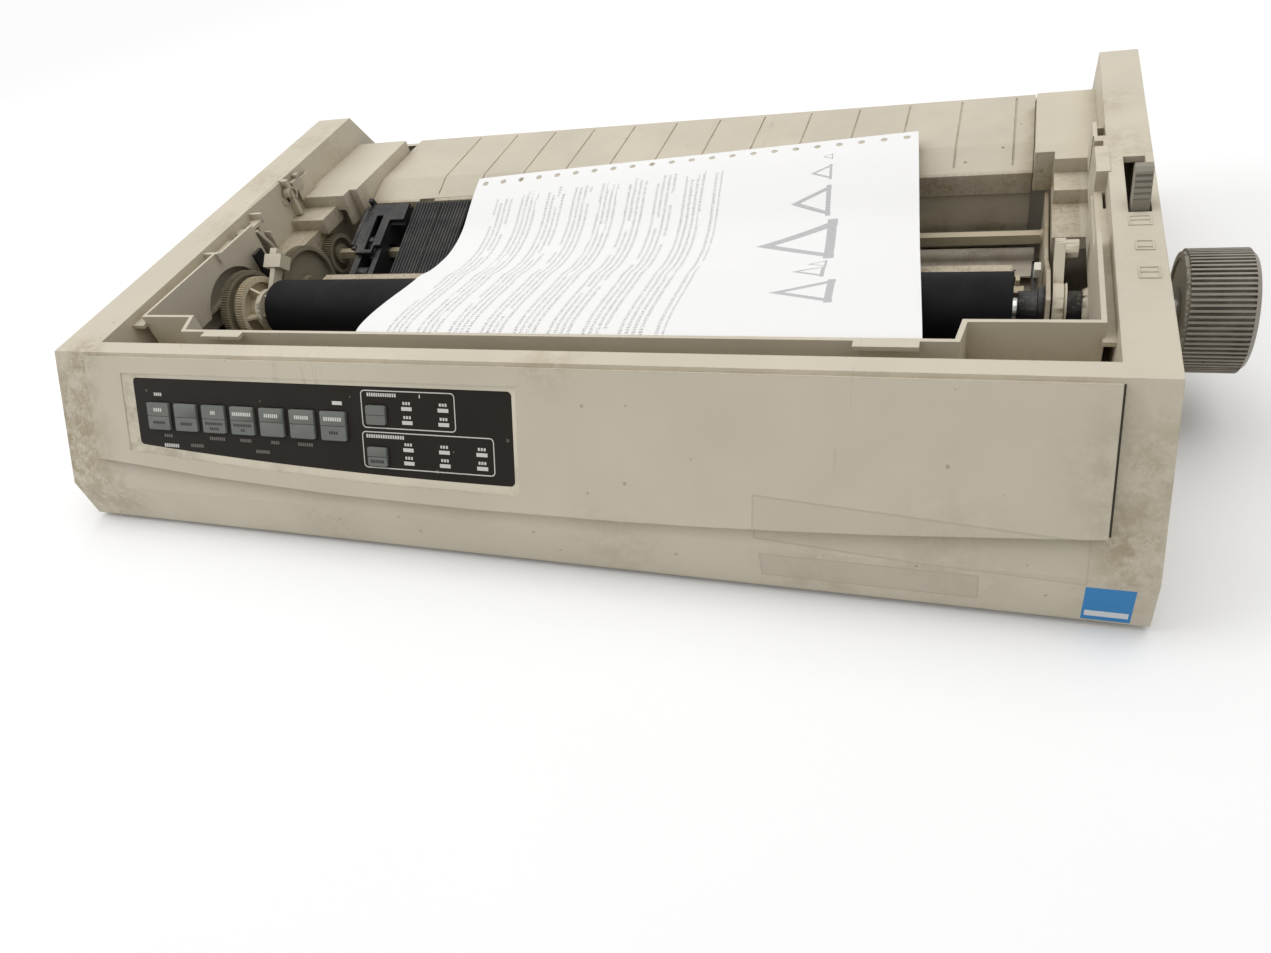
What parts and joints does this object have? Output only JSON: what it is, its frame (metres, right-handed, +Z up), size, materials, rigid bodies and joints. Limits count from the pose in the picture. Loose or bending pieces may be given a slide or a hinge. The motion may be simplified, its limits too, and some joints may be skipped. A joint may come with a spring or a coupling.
{
  "type": "dot matrix printer",
  "caption": "Desktop dot matrix printer with its access cover off: rubber platen and side knob, push tractors, moving print head, sloping key panel, fan-fold form fed in.",
  "frame": {"origin": "centre of the overall width and depth, at the surface that the feet stand on", "axes": "+X along the platen to the side with the knob, +Y to the back, +Z up"},
  "size_m": [0.5896, 0.345, 0.1095],
  "materials": {
    "case_shell": "moulded beige shell, fine grain",
    "guide_beige": "moulded beige, fine grain, dusty",
    "frame_plate": "moulded beige, smooth",
    "knob_grey": "moulded grey beige, ribbed rim",
    "panel_film": "dark brown satin film with printed lines",
    "led_lens": "clear moulded lenses, unlit",
    "board_green": "green solder mask",
    "key_grey": "moulded grey green key caps",
    "gear_cream": "cream acetal",
    "gear_worn": "cream acetal, yellowed and greasy",
    "lever_cream": "cream moulded lever",
    "shaft_steel": "ground steel",
    "base_zinc": "zinc plated sheet",
    "lever_black": "black steel strip",
    "platen_rubber": "ground black rubber",
    "foot_rubber": "black rubber",
    "roller_rubber": "dark rubber on steel",
    "bearing_black": "black acetal",
    "tractor_black": "black moulded, slightly glossy",
    "motor_shell": "grey painted can",
    "pinion_brass": "turned brass",
    "carriage_grey": "dark grey moulded",
    "head_alloy": "dark anodised fins",
    "supply_metal": "grey painted steel",
    "connector_metal": "plated shell",
    "inlet_black": "black moulded",
    "screw_zinc": "zinc plated",
    "form_paper": "fan-fold form, one ply"
  },
  "bodies": {
    "chassis": {"lower_case": "case_shell", "upper_case": "case_shell", "rear_guide": "guide_beige", "panel_overlay": "panel_film", "panel_leds": "led_lens", "panel_board": "board_green", "side_frame_left": "frame_plate", "side_frame_right": "frame_plate", "chassis_base": "base_zinc", "platen_bearings": "bearing_black", "guide_shaft": "shaft_steel", "paper_pan": "guide_beige", "feed_motor": "motor_shell", "carriage_rod": "shaft_steel", "space_rack": "gear_cream", "main_board": "board_green", "power_supply": "supply_metal", "power_inlet": "inlet_black", "interface_connector": "connector_metal", "feet": "foot_rubber", "screws": "screw_zinc", "paper_sheet": "form_paper"},
    "platen": {"platen_roller": "platen_rubber", "platen_shaft": "shaft_steel", "platen_gear": "gear_cream", "feed_gear": "gear_worn", "platen_knob": "knob_grey"},
    "idler": {"idler_gear": "gear_worn"},
    "tractor_drive": {"tractor_shaft": "gear_cream", "tractor_gear": "gear_cream"},
    "motor_pinion": {"motor_pinion": "pinion_brass"},
    "pinch_front": {"pinch_rollers_front": "roller_rubber"},
    "pinch_rear": {"pinch_rollers_rear": "roller_rubber"},
    "tractor_left": {"tractor_left": "tractor_black"},
    "tractor_left_cover": {"tractor_left_cover": "tractor_black"},
    "tractor_left_lock": {"tractor_left_lock": "tractor_black"},
    "sprocket_left": {"sprocket_left": "tractor_black"},
    "tractor_right": {"tractor_right": "tractor_black"},
    "tractor_right_cover": {"tractor_right_cover": "tractor_black"},
    "tractor_right_lock": {"tractor_right_lock": "tractor_black"},
    "sprocket_right": {"sprocket_right": "tractor_black"},
    "sheet_guide": {"sheet_guide": "tractor_black"},
    "carriage": {"carriage": "carriage_grey", "print_head": "head_alloy", "space_motor": "motor_shell"},
    "space_pinion": {"space_pinion": "pinion_brass"},
    "lock_lever_left": {"lock_lever_left": "lever_cream"},
    "lock_lever_right": {"lock_lever_right": "lever_cream"},
    "head_gap_lever": {"head_gap_lever": "lever_black"},
    "selector_lever": {"selector_lever": "lever_cream"},
    "power_switch": {"power_switch": "inlet_black"},
    "key_1": {"key_1": "key_grey"},
    "key_2": {"key_2": "key_grey"},
    "key_3": {"key_3": "key_grey"},
    "key_4": {"key_4": "key_grey"},
    "key_5": {"key_5": "key_grey"},
    "key_6": {"key_6": "key_grey"},
    "key_7": {"key_7": "key_grey"},
    "key_small_1": {"key_small_1": "key_grey"},
    "key_small_2": {"key_small_2": "key_grey"}
  },
  "joints": [
    {"name": "platen_spin", "type": "hinge", "parent": "chassis", "child": "platen", "pos_m": [0.00125, -0.034, 0.052], "axis": [1, 0, 0], "continuous": true},
    {"name": "idler_spin", "type": "hinge", "parent": "chassis", "child": "idler", "pos_m": [-0.24075, 0.01122, 0.03918], "axis": [1, 0, 0], "continuous": true},
    {"name": "tractor_drive_spin", "type": "hinge", "parent": "chassis", "child": "tractor_drive", "pos_m": [-0.01875, 0.0517, 0.04026], "axis": [1, 0, 0], "continuous": true},
    {"name": "motor_pinion_spin", "type": "hinge", "parent": "chassis", "child": "motor_pinion", "pos_m": [-0.25175, -0.04668, 0.02481], "axis": [1, 0, 0], "continuous": true},
    {"name": "pinch_front_spin", "type": "hinge", "parent": "chassis", "child": "pinch_front", "pos_m": [-0.01875, -0.04794, 0.03209], "axis": [1, 0, 0], "continuous": true},
    {"name": "pinch_rear_spin", "type": "hinge", "parent": "chassis", "child": "pinch_rear", "pos_m": [-0.01875, -0.02006, 0.03209], "axis": [1, 0, 0], "continuous": true},
    {"name": "tractor_left_slide", "type": "slide", "parent": "chassis", "child": "tractor_left", "axis": [1, 0, 0], "range_m": [-0.006, 0.002]},
    {"name": "tractor_right_slide", "type": "slide", "parent": "chassis", "child": "tractor_right", "axis": [1, 0, 0], "range_m": [-0.1, 0.08]},
    {"name": "sheet_guide_slide", "type": "slide", "parent": "chassis", "child": "sheet_guide", "axis": [1, 0, 0], "range_m": [0, 0.09]},
    {"name": "sprocket_left_spin", "type": "hinge", "parent": "tractor_left", "child": "sprocket_left", "pos_m": [-0.20475, 0.0517, 0.04026], "axis": [1, 0, 0], "continuous": true},
    {"name": "sprocket_right_spin", "type": "hinge", "parent": "tractor_right", "child": "sprocket_right", "pos_m": [0.10125, 0.0517, 0.04026], "axis": [1, 0, 0], "continuous": true},
    {"name": "tractor_left_cover_hinge", "type": "hinge", "parent": "tractor_left", "child": "tractor_left_cover", "pos_m": [-0.21775, 0.04689, 0.05312], "axis": [0, -0.9367, -0.3502], "range_deg": [0, 100]},
    {"name": "tractor_right_cover_hinge", "type": "hinge", "parent": "tractor_right", "child": "tractor_right_cover", "pos_m": [0.11425, 0.04689, 0.05312], "axis": [0, 0.9367, 0.3502], "range_deg": [0, 8]},
    {"name": "tractor_left_lock_pivot", "type": "hinge", "parent": "tractor_left", "child": "tractor_left_lock", "pos_m": [-0.20475, 0.02642, 0.03935], "axis": [-1, 0, 0], "range_deg": [0, 60]},
    {"name": "tractor_right_lock_pivot", "type": "hinge", "parent": "tractor_right", "child": "tractor_right_lock", "pos_m": [0.10125, 0.02642, 0.03935], "axis": [-1, 0, 0], "range_deg": [0, 60]},
    {"name": "carriage_slide", "type": "slide", "parent": "chassis", "child": "carriage", "axis": [1, 0, 0], "range_m": [-0.205, 0.18]},
    {"name": "space_pinion_spin", "type": "hinge", "parent": "carriage", "child": "space_pinion", "pos_m": [0.00125, -0.104, 0.0139], "axis": [0, 0, 1], "range_deg": [-1300, 1480]},
    {"name": "lock_lever_left_swing", "type": "hinge", "parent": "chassis", "child": "lock_lever_left", "pos_m": [-0.23425, -0.034, 0.052], "axis": [1, 0, 0], "range_deg": [0, 60]},
    {"name": "lock_lever_right_swing", "type": "hinge", "parent": "chassis", "child": "lock_lever_right", "pos_m": [0.21995, -0.034, 0.052], "axis": [1, 0, 0], "range_deg": [0, 60]},
    {"name": "head_gap_lever_swing", "type": "hinge", "parent": "chassis", "child": "head_gap_lever", "pos_m": [-0.25215, -0.0035, 0.033], "axis": [-1, 0, 0], "range_deg": [0, 18]},
    {"name": "selector_lever_swing", "type": "hinge", "parent": "chassis", "child": "selector_lever", "pos_m": [0.24925, 0.0025, 0.053], "axis": [-1, 0, 0], "range_deg": [0, 46]},
    {"name": "power_switch_rock", "type": "hinge", "parent": "chassis", "child": "power_switch", "pos_m": [-0.18635, 0.1659, 0.027], "axis": [-1, 0, 0], "range_deg": [0, 14]},
    {"name": "key_1_press", "type": "slide", "parent": "chassis", "child": "key_1", "axis": [0, 0.8517, -0.524], "range_m": [0, 0.001], "stiffness_N_per_m": 300, "springref_m": -0.001},
    {"name": "key_2_press", "type": "slide", "parent": "chassis", "child": "key_2", "axis": [0, 0.8517, -0.524], "range_m": [0, 0.001], "stiffness_N_per_m": 300, "springref_m": -0.001},
    {"name": "key_3_press", "type": "slide", "parent": "chassis", "child": "key_3", "axis": [0, 0.8517, -0.524], "range_m": [0, 0.001], "stiffness_N_per_m": 300, "springref_m": -0.001},
    {"name": "key_4_press", "type": "slide", "parent": "chassis", "child": "key_4", "axis": [0, 0.8517, -0.524], "range_m": [0, 0.001], "stiffness_N_per_m": 300, "springref_m": -0.001},
    {"name": "key_5_press", "type": "slide", "parent": "chassis", "child": "key_5", "axis": [0, 0.8517, -0.524], "range_m": [0, 0.001], "stiffness_N_per_m": 300, "springref_m": -0.001},
    {"name": "key_6_press", "type": "slide", "parent": "chassis", "child": "key_6", "axis": [0, 0.8517, -0.524], "range_m": [0, 0.001], "stiffness_N_per_m": 300, "springref_m": -0.001},
    {"name": "key_7_press", "type": "slide", "parent": "chassis", "child": "key_7", "axis": [0, 0.8517, -0.524], "range_m": [0, 0.001], "stiffness_N_per_m": 300, "springref_m": -0.001},
    {"name": "key_small_1_press", "type": "slide", "parent": "chassis", "child": "key_small_1", "axis": [0, 0.8517, -0.524], "range_m": [0, 0.001], "stiffness_N_per_m": 300, "springref_m": -0.001},
    {"name": "key_small_2_press", "type": "slide", "parent": "chassis", "child": "key_small_2", "axis": [0, 0.8517, -0.524], "range_m": [0, 0.001], "stiffness_N_per_m": 300, "springref_m": -0.001}
  ],
  "couplings": [
    {"joint": "idler_spin", "follows": "platen_spin", "ratio": -0.74074},
    {"joint": "tractor_drive_spin", "follows": "platen_spin", "ratio": 1.4815},
    {"joint": "sprocket_left_spin", "follows": "platen_spin", "ratio": 1.4815},
    {"joint": "sprocket_right_spin", "follows": "platen_spin", "ratio": 1.4815},
    {"joint": "motor_pinion_spin", "follows": "platen_spin", "ratio": -4},
    {"joint": "pinch_front_spin", "follows": "platen_spin", "ratio": -3},
    {"joint": "pinch_rear_spin", "follows": "platen_spin", "ratio": -3},
    {"joint": "space_pinion_spin", "follows": "carriage_slide", "rad_per_m": -125}
  ]
}
